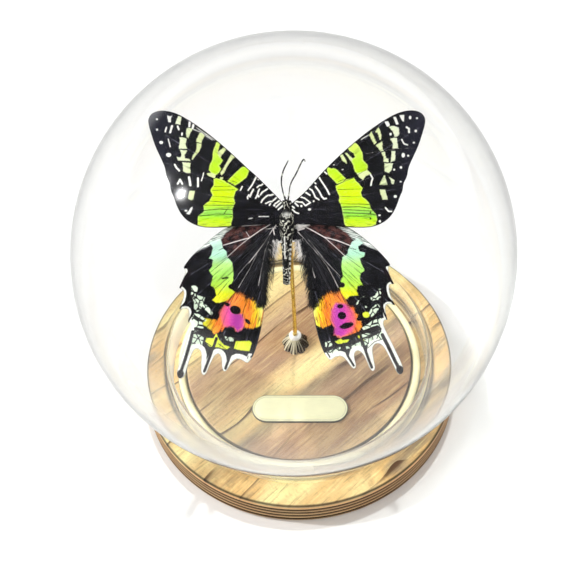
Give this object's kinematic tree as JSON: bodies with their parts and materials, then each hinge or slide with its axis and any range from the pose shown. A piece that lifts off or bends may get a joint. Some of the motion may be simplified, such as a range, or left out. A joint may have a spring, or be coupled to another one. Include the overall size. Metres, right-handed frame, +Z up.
{
  "type": "insect in glass dome",
  "caption": "Spread moth on a thin brass rod inside a round glass globe with a neck, standing in the seat of a turned wooden base with a bare plaque.",
  "frame": {"origin": "middle of the wooden base's flat underside", "axes": "+Z up along the rod, -Y to the front where the plaque lies, +X to the right seen from the front"},
  "size_m": [0.12, 0.12, 0.1261],
  "materials": {
    "base_wood": "satin oil",
    "globe_glass": "clear polished",
    "plaque_metal": "satin",
    "cap_brass": "antique",
    "collar_glass": "clear bead",
    "rod_brass": "polished",
    "moth_body": "hairy, dried",
    "moth_wing": "scaled, black with lime, yellow, orange and magenta fields"
  },
  "bodies": {
    "root": {"wood_base": "base_wood", "glass_globe": "globe_glass", "name_plaque": "plaque_metal", "bead_cap": "cap_brass", "rod_collar": "collar_glass", "support_rod": "rod_brass", "moth_head": "moth_body", "moth_thorax": "moth_body", "moth_abdomen": "moth_body", "forewing_left": "moth_wing", "forewing_right": "moth_wing", "hindwing_left": "moth_wing", "hindwing_right": "moth_wing", "antenna_left": "moth_body", "antenna_right": "moth_body", "foreleg_left": "moth_body", "foreleg_right": "moth_body", "middle_leg_left": "moth_body", "middle_leg_right": "moth_body", "hind_leg_left": "moth_body", "hind_leg_right": "moth_body"}
  },
  "joints": []
}
